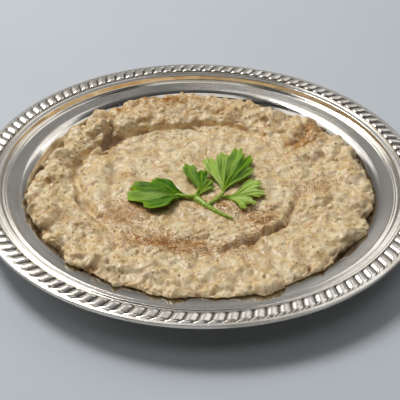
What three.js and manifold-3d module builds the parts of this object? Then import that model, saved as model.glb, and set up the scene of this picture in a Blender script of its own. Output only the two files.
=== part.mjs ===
// Baba ganoush spread on a round silver-plated tray with a gadroon border, topped with a sprig of parsley.
// Units are millimetres. +Z is up and the origin is the centre of the tray's flat base, on the table.
// Azimuths are in degrees, counted from +X towards +Y.
import * as THREE from 'three';
import { mergeVertices } from 'three/addons/utils/BufferGeometryUtils.js';
import Module from 'manifold-3d';

const wasm = await Module();
wasm.setup();

// ---- driving dimensions of the tray ----

const RIM_RADIUS = 127;
const TRAY_HEIGHT = 20;
const SHEET = 1.0;
const GAP = 0.3;

const FLOOR_RADIUS = 88;
const FLOOR_CORNER = 6.5;
const WALL_LEAN = 26.4;
// The wall and the flange would meet at this radius and drop, were the lip between them not round.
const LIP_RADIUS = 98.3;
const LIP_DROP = 6.3;
const LIP_ROUND = 10;
const FLANGE_OUTER = 108.8;
const FLANGE_DROP = 3.9;
const BEAD_HEIGHT = 0.4;
const BEAD_WIDTH = 0.7;
const COVE_INNER = 110.3;
const COVE_FOOT = 111.9;
const COVE_HEAD = 112.8;
const COVE_OUTER = 113.9;
const FILLET_TOP = 0.4;
const FILLET_GROOVE = 0.45;
const FILLET_FLAT = 0.5;

// ---- driving dimensions of the border ----

const LOBES = 116;
const BORDER_WIDTH = 9.6;
const BORDER_SIDE = 2.0;
const BORDER_FLAT = 1.9;
const LOBE_RISE = 0.8;
const LOBE_VALLEY = 0.2;
const LOBE_SLANT = 1.3;
const LOBE_TURN = -0.65;
// Rows along a lobe: the share of the way in from its outer end, and its height as a share of the rise.
const LOBE_ROWS = [[0.15, 1], [0.5, 1.25], [0.85, 0.7]];

// ---- driving dimensions of the food ----
// A swell is a size, the azimuth it is centred on, and its width in radians. A wave is a size and the
// azimuth of its peak; a list of them has one, two, three and more turns round the dish.

const DISC_HEIGHT = 14.5;
const DISC_DOME = 0.5;
const GROOVE_RADIUS = 59.5;
const GROOVE_WAVES = [[7.6, 170], [3.0, 38], [0.9, 148], [2.3, 263]];
const GROOVE_DEPTH = 1.3;
const GROOVE_WIDTH = 3.0;
const GROOVE_FADE = [0.8, 25, 0.5];
const TROUGH = [1.5, 186, 0.42];
const TROUGH_WIDTH = 4.5;
const TROUGH_OFFSET = 1.0;
const STEP_BASE = 1.0;
const STEP_SWELLS = [[1.2, 125, 0.75], [-1.7, 305, 0.6]];
const CREST_HEIGHT = 17.6;
const CREST_TILT = 0.7;
const CREST_HIGH_SIDE = 110;
const FAR_CREST = [2.2, 114, 0.55];
const FAR_RISE = [0.35, 108, 0.55];
const SHOULDER = 9.0;
const SHOULDER_SWELL = [1.5, 95, 0.9];
// How full the outer face is: 1 would be a quarter ellipse, and less is squarer.
const FACE_FULLNESS = 0.75;
const EDGE_RADIUS = 97.1;
const EDGE_WAVES = [[4.96, 282], [0.82, 147], [0.8, 354], [0.98, 68], [0.16, 57], [0.51, 96], [0.87, 251]];
const EDGE_FOOT = 0.6;
const STROKE_PITCH = 17;
const STROKE_DEPTH = 0.35;
const STROKE_FADE = [0.2, 0.6];
const LUMP_HEIGHT = 0.35;
// Each pattern of lumps is two crossed waves: how fast each runs along x and y, and its phase.
const LUMP_WAVES = [
  [[0.19, 0.07, 1.1], [-0.05, 0.16, 0.4]],
  [[0.31, -0.23, 2.3], [0.21, 0.29, 5.1]],
];

// ---- driving dimensions of the parsley ----

const LEAF_THICKNESS = 0.5;
const LEAF_CLEARANCE = 1.15;
const LEAF_RISE = [4, 26];
const LOBE_BLUNT = 0.4;
const FAN_AT_BASE = 0.3;
const FAN_LENGTH = 20;
// Each leaflet has a base, how far its far end lifts, and its lobes in order round the blade: the
// azimuth of the lobe's tip as seen from the base, its reach, and half its spread in degrees.
const LEAFLETS = [
  { base: [-4, -18.5], lift: 2.4, lobes: [[150, 27, 16], [167, 36, 18], [183, 37, 22], [203, 29.5, 24]] },
  { base: [-1.5, -18], lift: 1.8, lobes: [[30, 13, 24], [60, 16.5, 24], [88, 24, 20], [108, 29, 19]] },
  {
    base: [12, -16],
    lift: 2.6,
    lobes: [[52, 30, 12], [64, 40, 11], [76, 47, 11], [89, 40, 10], [103, 35, 14]],
  },
  { base: [12.2, -18], lift: 1.6, lobes: [[-46, 17.5, 18], [-25, 20.5, 14], [5, 25, 14], [27, 26, 17]] },
];
const STEMS = [
  { from: [18.8, -38.2], to: [-3, -19.5], lift: 0.8, radius: 1.2 },
  { from: [4.4, -26], to: [13.4, -11.5], lift: 1.2, radius: 0.8 },
  { from: [-3, -19.5], to: [-11, -18.5], lift: 1.4, radius: 0.8 },
  { from: [8.2, -20], to: [16, -18.2], lift: 1.3, radius: 0.8 },
  { from: [-3, -19.5], to: [-0.4, -13], lift: 1.4, radius: 0.7 },
];

// ---- how finely the surfaces are divided ----

const TRAY_SEGMENTS = 58;
const LIP_STEPS = 2;
const SAMPLES_PER_LOBE = 3;
const FOOD_SEGMENTS = 60;
const SHOULDER_SHARES = [1, 0.96, 0.85, 0.62, 0.3, 0];
const RING_SHARES = [0.68, 0.38, 0.16];
const DISC_SHARES = [0.74, 0.48, 0.22];
const LEAF_SHARES = [0.45, 1];
const LEAF_SAMPLES = 17;
const STEM_SIDES = 6;

// ---- small helpers ----

const radians = THREE.MathUtils.degToRad;
const { clamp, lerp, smoothstep } = THREE.MathUtils;

function point(radius, height) {
  return new THREE.Vector2(radius, height);
}

// How much a swell adds at an angle: its whole size at its centre, fading to both sides.
function swell(angle, [size, centre, width]) {
  return size * Math.exp((Math.cos(angle - radians(centre)) - 1) / (width * width));
}

function swells(angle, list) {
  return list.reduce((sum, one) => sum + swell(angle, one), 0);
}

// A quarter turn or less of an arc in the profile plane, as points from one angle to the other.
function arc(x, z, radius, from, to, steps) {
  const points = [];
  for (let i = 0; i <= steps; i += 1) {
    const angle = radians(lerp(from, to, i / steps));
    points.push(point(x + radius * Math.cos(angle), z + radius * Math.sin(angle)));
  }
  return points;
}

// A ring of points, from a function that gives radius and height at each azimuth.
function ring(count, at, turn = 0) {
  const points = [];
  for (let i = 0; i < count; i += 1) {
    const angle = (i / count) * 2 * Math.PI + radians(turn);
    const [radius, height] = at(angle, i);
    points.push([radius * Math.cos(angle), radius * Math.sin(angle), height]);
  }
  return points;
}

// Triangles between two rings, where one ring's count is a whole multiple of the other's.
// The first ring lies outside or above the second, seen with the surface facing up and out.
function stitch(faces, startA, countA, startB, countB) {
  const fine = Math.max(countA, countB);
  for (let i = 0; i < fine; i += 1) {
    const a = Math.floor((i * countA) / fine);
    const b = Math.floor((i * countB) / fine);
    const nextA = Math.floor(((i + 1) * countA) / fine) % countA;
    const nextB = Math.floor(((i + 1) * countB) / fine) % countB;
    if (nextA !== a) faces.push(startA + a, startA + nextA, startB + b);
    if (nextB !== b) faces.push(startA + nextA, startB + nextB, startB + b);
  }
}

// A fan of triangles from a pole to a ring.
function fan(faces, pole, start, count, facesUp) {
  for (let i = 0; i < count; i += 1) {
    const next = (i + 1) % count;
    if (facesUp) faces.push(pole, start + i, start + next);
    else faces.push(pole, start + next, start + i);
  }
}

// A closed surface through a list of rings. Each end is shut by a point on the axis, or the last
// ring is joined back to the first.
function ringSolid(rings, startHeight = null, endHeight = null) {
  const positions = [];
  const starts = [];
  const faces = [];
  for (const points of rings) {
    starts.push(positions.length / 3);
    for (const each of points) positions.push(...each);
  }
  for (let k = 0; k + 1 < rings.length; k += 1) {
    stitch(faces, starts[k], rings[k].length, starts[k + 1], rings[k + 1].length);
  }
  const last = rings.length - 1;
  if (startHeight === null) {
    stitch(faces, starts[last], rings[last].length, starts[0], rings[0].length);
  } else {
    const startPole = positions.length / 3;
    positions.push(0, 0, startHeight);
    positions.push(0, 0, endHeight);
    fan(faces, startPole, starts[0], rings[0].length, false);
    fan(faces, startPole + 1, starts[last], rings[last].length, true);
  }
  const geometry = new THREE.BufferGeometry();
  geometry.setAttribute('position', new THREE.Float32BufferAttribute(positions, 3));
  geometry.setIndex(faces);
  return geometry;
}

// ---- the tray: one spun sheet ----

const LIP_Z = TRAY_HEIGHT - LIP_DROP;
const FLANGE_Z = TRAY_HEIGHT - FLANGE_DROP;
const FILLET_Z = TRAY_HEIGHT - FILLET_TOP;
const SEAT_Z = TRAY_HEIGHT - 1.1 * SHEET;
const SEAT_INNER = RIM_RADIUS - BORDER_WIDTH - GAP;
const SEAT_OUTER = RIM_RADIUS - SHEET;
const CORNER_START = -60;

// The two raised lines between the cove and the border, with a groove between them.
function filletProfile() {
  const width = (SEAT_INNER - COVE_OUTER) / 2;
  const margin = (width * (1 - FILLET_FLAT)) / 2;
  const ridge = (from) => [point(from + margin, FILLET_Z), point(from + width - margin, FILLET_Z)];
  return [
    ...ridge(COVE_OUTER),
    point(COVE_OUTER + width, FILLET_Z - FILLET_GROOVE),
    ...ridge(COVE_OUTER + width),
  ];
}

// The lip: an arc that the wall and the flange both touch, at a depth inside the sheet's upper side.
function lipArc(depth, steps) {
  const slope = Math.atan2(FLANGE_Z - LIP_Z, FLANGE_OUTER - LIP_RADIUS);
  const wallTurn = 180 - WALL_LEAN;
  const flangeTurn = 90 + THREE.MathUtils.radToDeg(slope);
  const reach = LIP_ROUND * Math.tan(radians(wallTurn - flangeTurn) / 2);
  const x = LIP_RADIUS + reach * Math.cos(slope) + LIP_ROUND * Math.sin(slope);
  const z = LIP_Z + reach * Math.sin(slope) - LIP_ROUND * Math.cos(slope);
  return arc(x, z, LIP_ROUND - depth, wallTurn, flangeTurn, steps);
}

// The upper side of the sheet from the floor to the seat of the border.
function trayTop() {
  return [
    point(0, SHEET),
    point(FLOOR_RADIUS, SHEET),
    ...arc(FLOOR_RADIUS, SHEET + FLOOR_CORNER, FLOOR_CORNER, CORNER_START, -WALL_LEAN, 1),
    ...lipArc(0, LIP_STEPS),
    point(FLANGE_OUTER, FLANGE_Z),
    point(FLANGE_OUTER + BEAD_WIDTH, FLANGE_Z + BEAD_HEIGHT),
    point(COVE_INNER, FLANGE_Z + BEAD_HEIGHT / 2),
    point(COVE_FOOT, FLANGE_Z + BEAD_HEIGHT / 2),
    point(COVE_HEAD, FILLET_Z - BEAD_HEIGHT),
    ...filletProfile(),
    point(SEAT_INNER, SEAT_Z),
    point(SEAT_OUTER, SEAT_Z),
  ];
}

// The under side of the sheet, from the rim's edge back to the base. Where the sheet slopes, its
// thickness is split between outwards and downwards.
function trayUnderside() {
  const across = 0.8 * SHEET;
  return [
    point(SEAT_OUTER, SEAT_Z - SHEET),
    point(COVE_OUTER + across, SEAT_Z - SHEET),
    point(COVE_FOOT + across, FLANGE_Z - across),
    point(FLANGE_OUTER, FLANGE_Z - SHEET),
    ...lipArc(SHEET, LIP_STEPS - 1).reverse(),
    ...arc(FLOOR_RADIUS, SHEET + FLOOR_CORNER, FLOOR_CORNER + SHEET, -WALL_LEAN, CORNER_START, 1),
    point(FLOOR_RADIUS, 0),
    point(0, 0),
  ];
}

function trayGeometry() {
  const profile = [...trayTop(), ...trayUnderside()].reverse();
  return new THREE.LatheGeometry(profile, TRAY_SEGMENTS).rotateX(Math.PI / 2);
}

// Height of the sheet's upper side at a radius, which the food follows.
const trayProfile = trayTop();

function traySurface(radius) {
  for (let i = 1; i < trayProfile.length; i += 1) {
    const a = trayProfile[i - 1];
    const b = trayProfile[i];
    if (radius <= b.x && b.x > a.x) return lerp(a.y, b.y, (radius - a.x) / (b.x - a.x));
  }
  return SEAT_Z;
}

// ---- the border: a stamped strip of slanted lobes between the rim's flat edge and the fillets ----

// One ring across the lobes: a valley at each lobe's start and a rounded back on its other samples.
function lobeRing(radius, rise, turn) {
  const valley = TRAY_HEIGHT - LOBE_VALLEY;
  const at = (angle, i) => [radius, i % SAMPLES_PER_LOBE === 0 ? valley : valley + rise];
  return ring(LOBES * SAMPLES_PER_LOBE, at, turn);
}

function plainRing(count, radius, height, turn = 0) {
  return ring(count, () => [radius, height], turn);
}

function borderGeometry() {
  const inner = RIM_RADIUS - BORDER_WIDTH;
  const lobeOuter = RIM_RADIUS - BORDER_FLAT;
  const wall = SEAT_OUTER + GAP;
  const underside = SEAT_Z + GAP;
  const foot = TRAY_HEIGHT - BORDER_SIDE;
  const lobeRows = LOBE_ROWS.map(([across, height]) => {
    return lobeRing(lerp(lobeOuter, inner, across), LOBE_RISE * height, LOBE_TURN + LOBE_SLANT * across);
  });
  return ringSolid([
    plainRing(TRAY_SEGMENTS, RIM_RADIUS - LOBE_VALLEY, foot),
    plainRing(LOBES, RIM_RADIUS, TRAY_HEIGHT),
    plainRing(LOBES, lobeOuter, TRAY_HEIGHT),
    ...lobeRows,
    plainRing(LOBES, inner, TRAY_HEIGHT - LOBE_VALLEY, LOBE_TURN + LOBE_SLANT),
    plainRing(TRAY_SEGMENTS, inner, underside),
    plainRing(TRAY_SEGMENTS, wall, underside),
    plainRing(TRAY_SEGMENTS, wall, foot),
  ]);
}

// ---- the food: a swirled disc, a groove, and a high uneven ring that runs down to the tray ----

function waved(radius, waves, angle) {
  return waves.reduce((sum, [size, phase], k) => {
    return sum + size * Math.cos((k + 1) * angle - radians(phase));
  }, radius);
}

function grooveRadius(angle) {
  return waved(GROOVE_RADIUS, GROOVE_WAVES, angle);
}

// Where the food meets the tray: over the lip towards -Y, short of it elsewhere.
function edgeRadius(angle) {
  return waved(EDGE_RADIUS, EDGE_WAVES, angle);
}

function crestRadius(angle) {
  return edgeRadius(angle) - SHOULDER - swell(angle, SHOULDER_SWELL);
}

function crestHeight(angle) {
  const tilt = CREST_TILT * Math.cos(angle - radians(CREST_HIGH_SIDE));
  return CREST_HEIGHT + tilt + swell(angle, FAR_CREST);
}

// How much higher the ring starts than the disc, just outside the groove.
function grooveStep(angle) {
  return STEP_BASE + swells(angle, STEP_SWELLS);
}

// A low dome with the faint spiral of a spoon's stroke, which fades out towards the middle.
function discHeight(radius, angle) {
  const across = radius / grooveRadius(angle);
  const turns = radius / STROKE_PITCH - angle / (2 * Math.PI);
  const stroke = STROKE_DEPTH * Math.cos(2 * Math.PI * turns) * smoothstep(across, ...STROKE_FADE);
  return DISC_HEIGHT + DISC_DOME * (1 - across * across) + stroke;
}

// The ring rises from the groove to its crest, and sooner at the far side, where it has a steep inner wall.
function ringHeight(radius, angle) {
  const groove = grooveRadius(angle);
  const slope = (crestRadius(angle) - groove) * (1 - swell(angle, FAR_RISE));
  const start = discHeight(groove, angle) + grooveStep(angle);
  return lerp(start, crestHeight(angle), smoothstep((radius - groove) / slope, 0, 1));
}

// Soft lumps a spoon leaves in a coarse mash.
function lumps(x, y) {
  const wave = ([alongX, alongY, phase]) => Math.sin(alongX * x + alongY * y + phase);
  return LUMP_WAVES.reduce((sum, [one, other]) => sum + LUMP_HEIGHT * wave(one) * wave(other), 0);
}

function foodHeight(radius, angle) {
  const groove = grooveRadius(angle);
  const edge = edgeRadius(angle);
  const crest = crestRadius(angle);
  const fromGroove = (radius - groove) / GROOVE_WIDTH;
  const cut = GROOVE_DEPTH * (1 - swell(angle, GROOVE_FADE)) * Math.exp(-(fromGroove ** 2));
  const fromTrough = (radius - groove - TROUGH_OFFSET) / TROUGH_WIDTH;
  const trough = swell(angle, TROUGH) * Math.exp(-(fromTrough ** 2));
  const level = lerp(discHeight(radius, angle), ringHeight(radius, angle), smoothstep(fromGroove, 0, 1));
  const rough = level - cut - trough + lumps(radius * Math.cos(angle), radius * Math.sin(angle));
  if (radius <= crest) return rough;
  const foot = traySurface(edge) + GAP + EDGE_FOOT;
  const across = clamp((radius - crest) / (edge - crest), 0, 1);
  const share = (1 - across ** (2 / FACE_FULLNESS)) ** (FACE_FULLNESS / 2);
  return lerp(foot, rough, share);
}

// Rings of the food from its underside's middle out, up the tray's wall and round its lip, and over
// its top to the middle. Each row under it stays a little further inside the edge than the next.
function foodGeometry() {
  const clear = 1.5 * GAP;
  const wallRadii = [FLOOR_RADIUS - FLOOR_CORNER, FLOOR_RADIUS + FLOOR_CORNER - SHEET];
  const lipRadii = lipArc(0, LIP_STEPS).map((each) => each.x);
  const undersideRadii = [...wallRadii, ...lipRadii, RIM_RADIUS];
  const bottom = undersideRadii.map((radius, k) => ring(FOOD_SEGMENTS, (angle) => {
    const inset = 2 * GAP * (undersideRadii.length - 1 - k);
    const r = Math.min(radius, edgeRadius(angle) - inset);
    return [r - clear, traySurface(r) + GAP];
  }));
  const onTop = (radius) => ring(FOOD_SEGMENTS, (angle) => {
    const r = radius(angle);
    return [r - clear, foodHeight(r, angle)];
  });
  const shoulder = SHOULDER_SHARES.map((share) => {
    return onTop((angle) => lerp(crestRadius(angle), edgeRadius(angle), share));
  });
  const outer = RING_SHARES.map((share) => {
    return onTop((angle) => lerp(grooveRadius(angle), crestRadius(angle), share));
  });
  const trough = [GROOVE_WIDTH, 0, -GROOVE_WIDTH].map((offset) => {
    return onTop((angle) => grooveRadius(angle) + offset);
  });
  const disc = DISC_SHARES.map((share) => {
    return onTop((angle) => grooveRadius(angle) * share);
  });
  const rings = [...bottom, ...shoulder, ...outer, ...trough, ...disc];
  return ringSolid(rings, SHEET + GAP, DISC_HEIGHT + DISC_DOME);
}

// ---- the parsley: leaflets cut into lobes, on one forked stem ----

// Height of the food under a point, with room above it.
function bedHeight(x, y) {
  return foodHeight(Math.hypot(x, y), Math.atan2(y, x)) + LEAF_CLEARANCE;
}

// How far the blade reaches from its base at an azimuth: as far as the longest of its blunt lobes there.
function bladeReach(lobes, azimuth) {
  return Math.max(...lobes.map(([centre, reach, half]) => {
    const off = clamp((azimuth - centre) / half, -1, 1);
    return reach * (1 - off * off) ** LOBE_BLUNT;
  }));
}

// A point of the blade's under side, at a share of the way out along a ray. The rays leave the base
// close together and fan out to their own azimuths.
function bladePoint({ base, lift, lobes }, azimuth, share) {
  const out = bladeReach(lobes, azimuth) * share;
  const middle = (lobes[0][0] + lobes[lobes.length - 1][0]) / 2;
  const fan = lerp(FAN_AT_BASE, 1, smoothstep(out, 0, FAN_LENGTH));
  const angle = radians(middle + (azimuth - middle) * fan);
  const x = base[0] + out * Math.cos(angle);
  const y = base[1] + out * Math.sin(angle);
  return [x, y, bedHeight(x, y) + LEAF_CLEARANCE + lift * smoothstep(out, ...LEAF_RISE)];
}

// A thin closed blade: the same fan of triangles on its two sides, and a wall round its outline.
function leafletGeometry(leaflet) {
  const [first] = leaflet.lobes;
  const last = leaflet.lobes[leaflet.lobes.length - 1];
  const from = first[0] - 0.97 * first[2];
  const to = last[0] + 0.97 * last[2];
  const under = [bladePoint(leaflet, from, 0)];
  for (const share of LEAF_SHARES) {
    for (let i = 0; i <= LEAF_SAMPLES; i += 1) {
      under.push(bladePoint(leaflet, lerp(from, to, i / LEAF_SAMPLES), share));
    }
  }
  const over = under.map(([x, y, z]) => [x, y, z + LEAF_THICKNESS]);
  const row = LEAF_SAMPLES + 1;
  const faces = [];
  const bothSides = (a, b, c) => faces.push(a, c, b, under.length + a, under.length + b, under.length + c);
  for (let i = 0; i < LEAF_SAMPLES; i += 1) {
    bothSides(0, 1 + i, 2 + i);
    for (let k = 0; k + 1 < LEAF_SHARES.length; k += 1) {
      const near = 1 + k * row + i;
      bothSides(near, near + row, near + row + 1);
      bothSides(near, near + row + 1, near + 1);
    }
  }
  const outerRow = 1 + (LEAF_SHARES.length - 1) * row;
  const outline = [0];
  for (let k = 0; k + 1 < LEAF_SHARES.length; k += 1) outline.push(1 + k * row);
  for (let i = 0; i < row; i += 1) outline.push(outerRow + i);
  for (let k = LEAF_SHARES.length - 2; k >= 0; k -= 1) outline.push(k * row + row);
  outline.forEach((a, i) => {
    const b = outline[(i + 1) % outline.length];
    faces.push(a, b, under.length + b, a, under.length + b, under.length + a);
  });
  const geometry = new THREE.BufferGeometry();
  geometry.setAttribute('position', new THREE.Float32BufferAttribute([...under, ...over].flat(), 3));
  geometry.setIndex(faces);
  return geometry;
}

function stemGeometry({ from, to, lift, radius }) {
  const start = new THREE.Vector3(...from, bedHeight(...from) + lift);
  const end = new THREE.Vector3(...to, bedHeight(...to) + lift);
  const geometry = new THREE.CylinderGeometry(radius, radius, start.distanceTo(end), STEM_SIDES);
  const turn = new THREE.Quaternion().setFromUnitVectors(
    new THREE.Vector3(0, 1, 0),
    end.clone().sub(start).normalize(),
  );
  const middle = start.clone().lerp(end, 0.5);
  return geometry.applyQuaternion(turn).translate(middle.x, middle.y, middle.z);
}

// A solid for joining, from a closed geometry.
function toSolid(geometry) {
  geometry.deleteAttribute('normal');
  geometry.deleteAttribute('uv');
  const merged = mergeVertices(geometry, 1e-4);
  const vertProperties = new Float32Array(merged.getAttribute('position').array);
  const triVerts = new Uint32Array(merged.getIndex().array);
  return new wasm.Manifold(new wasm.Mesh({ numProp: 3, vertProperties, triVerts }));
}

function fromSolid(solid) {
  const mesh = solid.getMesh();
  const geometry = new THREE.BufferGeometry();
  geometry.setAttribute('position', new THREE.Float32BufferAttribute(mesh.vertProperties, 3));
  geometry.setIndex(Array.from(mesh.triVerts));
  return geometry;
}

function sprigGeometry() {
  const pieces = [...LEAFLETS.map(leafletGeometry), ...STEMS.map(stemGeometry)];
  const joined = pieces.map(toSolid).reduce((whole, piece) => whole.add(piece));
  return fromSolid(joined);
}

// ---- the assembled dish ----

function part(name, geometry, color, roughness, metalness) {
  const flat = geometry.index ? geometry.toNonIndexed() : geometry;
  flat.computeVertexNormals();
  const mesh = new THREE.Mesh(flat, new THREE.MeshStandardMaterial({ color, roughness, metalness }));
  mesh.name = name;
  return mesh;
}

const dish = new THREE.Group();
dish.add(part('tray', trayGeometry(), 0xb3b1ab, 0.22, 1));
dish.add(part('gadroon_border', borderGeometry(), 0xc4bfb6, 0.28, 1));
dish.add(part('baba_ganoush', foodGeometry(), 0xd6bd92, 0.62, 0));
dish.add(part('parsley_sprig', sprigGeometry(), 0x4f8a1f, 0.5, 0));

export default dish;
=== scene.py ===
import math

import bpy
import numpy as np
from mathutils import Matrix, Vector


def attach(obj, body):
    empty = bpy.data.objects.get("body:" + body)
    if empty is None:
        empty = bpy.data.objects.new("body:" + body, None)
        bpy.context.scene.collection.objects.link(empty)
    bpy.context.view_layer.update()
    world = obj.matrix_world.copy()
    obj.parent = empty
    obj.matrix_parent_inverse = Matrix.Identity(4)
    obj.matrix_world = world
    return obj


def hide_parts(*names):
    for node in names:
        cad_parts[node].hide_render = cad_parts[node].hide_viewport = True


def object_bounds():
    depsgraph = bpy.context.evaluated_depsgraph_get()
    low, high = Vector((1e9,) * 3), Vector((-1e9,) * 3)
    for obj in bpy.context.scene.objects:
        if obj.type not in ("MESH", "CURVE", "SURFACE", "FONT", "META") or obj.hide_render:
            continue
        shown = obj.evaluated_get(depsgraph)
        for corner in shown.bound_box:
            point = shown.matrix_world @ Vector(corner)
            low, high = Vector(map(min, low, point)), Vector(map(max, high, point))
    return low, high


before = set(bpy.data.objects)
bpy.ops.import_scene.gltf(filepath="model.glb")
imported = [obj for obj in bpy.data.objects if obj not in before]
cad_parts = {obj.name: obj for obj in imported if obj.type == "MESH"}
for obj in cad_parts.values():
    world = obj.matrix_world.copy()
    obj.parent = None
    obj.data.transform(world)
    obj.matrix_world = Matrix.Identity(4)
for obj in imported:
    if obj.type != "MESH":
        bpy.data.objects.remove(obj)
cad_low, cad_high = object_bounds()


# ---- the tray ----
# A round tray spun from one steel sheet and plated with silver: a flat base, a leaning wall, a rolled
# lip, a sloping flange, a bead, a cove, and two raised lines that frame the stamped border. Sizes here
# and below are in millimetres, and azimuths in degrees from +X towards +Y.

MM = 0.001
RIM_RADIUS = cad_high.x / MM
TRAY_HEIGHT = 20.0
SHEET = 1.0
FLOOR_CORNER = 6.5
WALL_FOOT = 92.0
LIP = (98.3, 13.7)
LIP_ROUND = 10.0
FLANGE_END = (108.8, 16.1)
BEAD_HEIGHT = 0.45
COVE_FOOT = (111.9, 16.2)
COVE_HEAD = (112.8, 19.5)
FILLET_TOP = 19.6
FILLET_GROOVE = 19.05
FILLETS = (115.25, 115.65)
SEAT_INNER = 117.1
SEAT_HEIGHT = 18.9
TRAY_COLUMNS = 290
LONGEST_STRETCH = 3.0
CORNER_SUPPORT = 0.12

SILVER = (236, 231, 222)
TARNISH = (196, 186, 170)
# Painted shade: the deep brown that the silver turns where a mark paints shade into it.
SHADE_BROWN = (62, 52, 42)


def pigment(red, green, blue):
    """A colour as paint charts give it, 0 to 255 each, turned into light for the shader."""
    share = np.array([red, green, blue]) / 255
    light = np.where(share <= 0.04045, share / 12.92, ((share + 0.055) / 1.055) ** 2.4)
    return (*light.tolist(), 1.0)


def unit(vectors):
    """The same directions, with a length of one."""
    return vectors / np.linalg.norm(vectors, axis=-1, keepdims=True)


def rounded(corners, steps=9):
    """A profile of straight stretches with round corners. A corner is (radius, height, rounding). Its
    arc touches both stretches, and turns from one touching point to the other about its centre."""
    points = [np.array([corners[0][:2]])]
    for before, corner, after in zip(corners, corners[1:], corners[2:]):
        here = np.array(corner[:2])
        if corner[2] == 0:
            points.append(here[None])
            continue
        back = unit(np.array(before[:2]) - here)
        ahead = unit(np.array(after[:2]) - here)
        half = math.acos(np.clip(back @ ahead, -1, 1)) / 2
        middle = here + unit(back + ahead) * corner[2] / math.sin(half)
        start = here + back * corner[2] / math.tan(half) - middle
        end = here + ahead * corner[2] / math.tan(half) - middle
        turn = math.pi - 2 * half
        share = np.linspace(0, 1, steps)[:, None]
        swept = (start * np.sin((1 - share) * turn) + end * np.sin(share * turn)) / math.sin(turn)
        points.append(middle + swept)
    points.append(np.array([corners[-1][:2]]))
    return np.concatenate(points)


def supported(points):
    """The same profile with more points on its long stretches: one close to each end, so that the
    shading of the round corners stays on the corners, and the rest no further apart than is allowed."""
    rows = []
    for a, b in zip(points, points[1:]):
        length = np.linalg.norm(b - a)
        rows.append(a[None])
        if length > 6 * CORNER_SUPPORT:
            inner = np.linspace(CORNER_SUPPORT, length - CORNER_SUPPORT, 2 + int(length / LONGEST_STRETCH))
            rows.append(a + (b - a) * inner[:, None] / length)
    rows.append(points[-1:])
    return np.concatenate(rows)


def grid_faces(rows, columns, closed_rows=False, closed_columns=False):
    """Four-sided faces between the points of a grid, counted row by row. A closed direction runs on
    from its last points to its first."""
    row = np.arange(rows if closed_rows else rows - 1)
    column = np.arange(columns if closed_columns else columns - 1)
    row, column = np.meshgrid(row, column, indexing="ij")
    row_on = (row + 1) % rows
    column_on = (column + 1) % columns
    corners = [(row, column), (row_on, column), (row_on, column_on), (row, column_on)]
    return np.stack([r * columns + c for r, c in corners], -1).reshape(-1, 4)


def capped_rings(rings, columns):
    """Faces of rings of points that two single points close: the points come ring by ring, then the one
    at the first ring's end, then the one at the last ring's."""
    here = np.arange(columns)
    on = (here + 1) % columns
    last = (rings - 1) * columns
    pole = np.full(columns, rings * columns)
    caps = [np.stack([here, on, pole], -1), np.stack([last + on, last + here, pole + 1], -1)]
    return [grid_faces(rings, columns, closed_columns=True), *caps]


def turned(radius, height, turn):
    """Points at a radius and a height, turned round the axis by an angle in radians."""
    return np.stack(np.broadcast_arrays(radius * np.cos(turn), radius * np.sin(turn), height), -1)


def new_piece(name, points, face_sets, material):
    """An object at the origin whose mesh has these points, in millimetres, and these faces. The faces
    are turned round if the volume that they close comes out negative."""
    volume = 0.0
    for faces in face_sets:
        a = points[faces[:, 0]]
        for k in range(1, faces.shape[1] - 1):
            volume += np.sum(a * np.cross(points[faces[:, k]], points[faces[:, k + 1]]))
    if volume < 0:
        face_sets = [faces[:, ::-1] for faces in face_sets]
    corners = np.concatenate([faces.ravel() for faces in face_sets])
    sizes = np.concatenate([np.full(len(faces), faces.shape[1]) for faces in face_sets])
    mesh = bpy.data.meshes.new(name)
    mesh.vertices.add(len(points))
    mesh.vertices.foreach_set("co", (points * MM).astype(np.float32).ravel())
    mesh.loops.add(len(corners))
    mesh.loops.foreach_set("vertex_index", corners.astype(np.int32))
    mesh.polygons.add(len(sizes))
    mesh.polygons.foreach_set("loop_start", (np.cumsum(sizes) - sizes).astype(np.int32))
    mesh.polygons.foreach_set("use_smooth", np.ones(len(sizes), dtype=bool))
    mesh.update(calc_edges=True)
    mesh.materials.append(material)
    piece = bpy.data.objects.new(name, mesh)
    bpy.context.scene.collection.objects.link(piece)
    return piece


def mark(piece, name, values):
    """Stores one number per point on the piece's mesh, for its material to read."""
    attribute = piece.data.attributes.new(name, "FLOAT", "POINT")
    attribute.data.foreach_set("value", np.asarray(values, dtype=np.float32).ravel())


class Signal:
    """A number that varies over a surface. Each operator adds one Math node to the finish."""

    def __init__(self, finish, socket):
        self.finish = finish
        self.socket = socket

    def __add__(self, other):
        return self.finish.maths("ADD", self, other)

    def __sub__(self, other):
        return self.finish.maths("SUBTRACT", self, other)

    def __rsub__(self, other):
        return self.finish.maths("SUBTRACT", other, self)

    def __mul__(self, other):
        return self.finish.maths("MULTIPLY", self, other)

    __radd__ = __add__
    __rmul__ = __mul__


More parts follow.
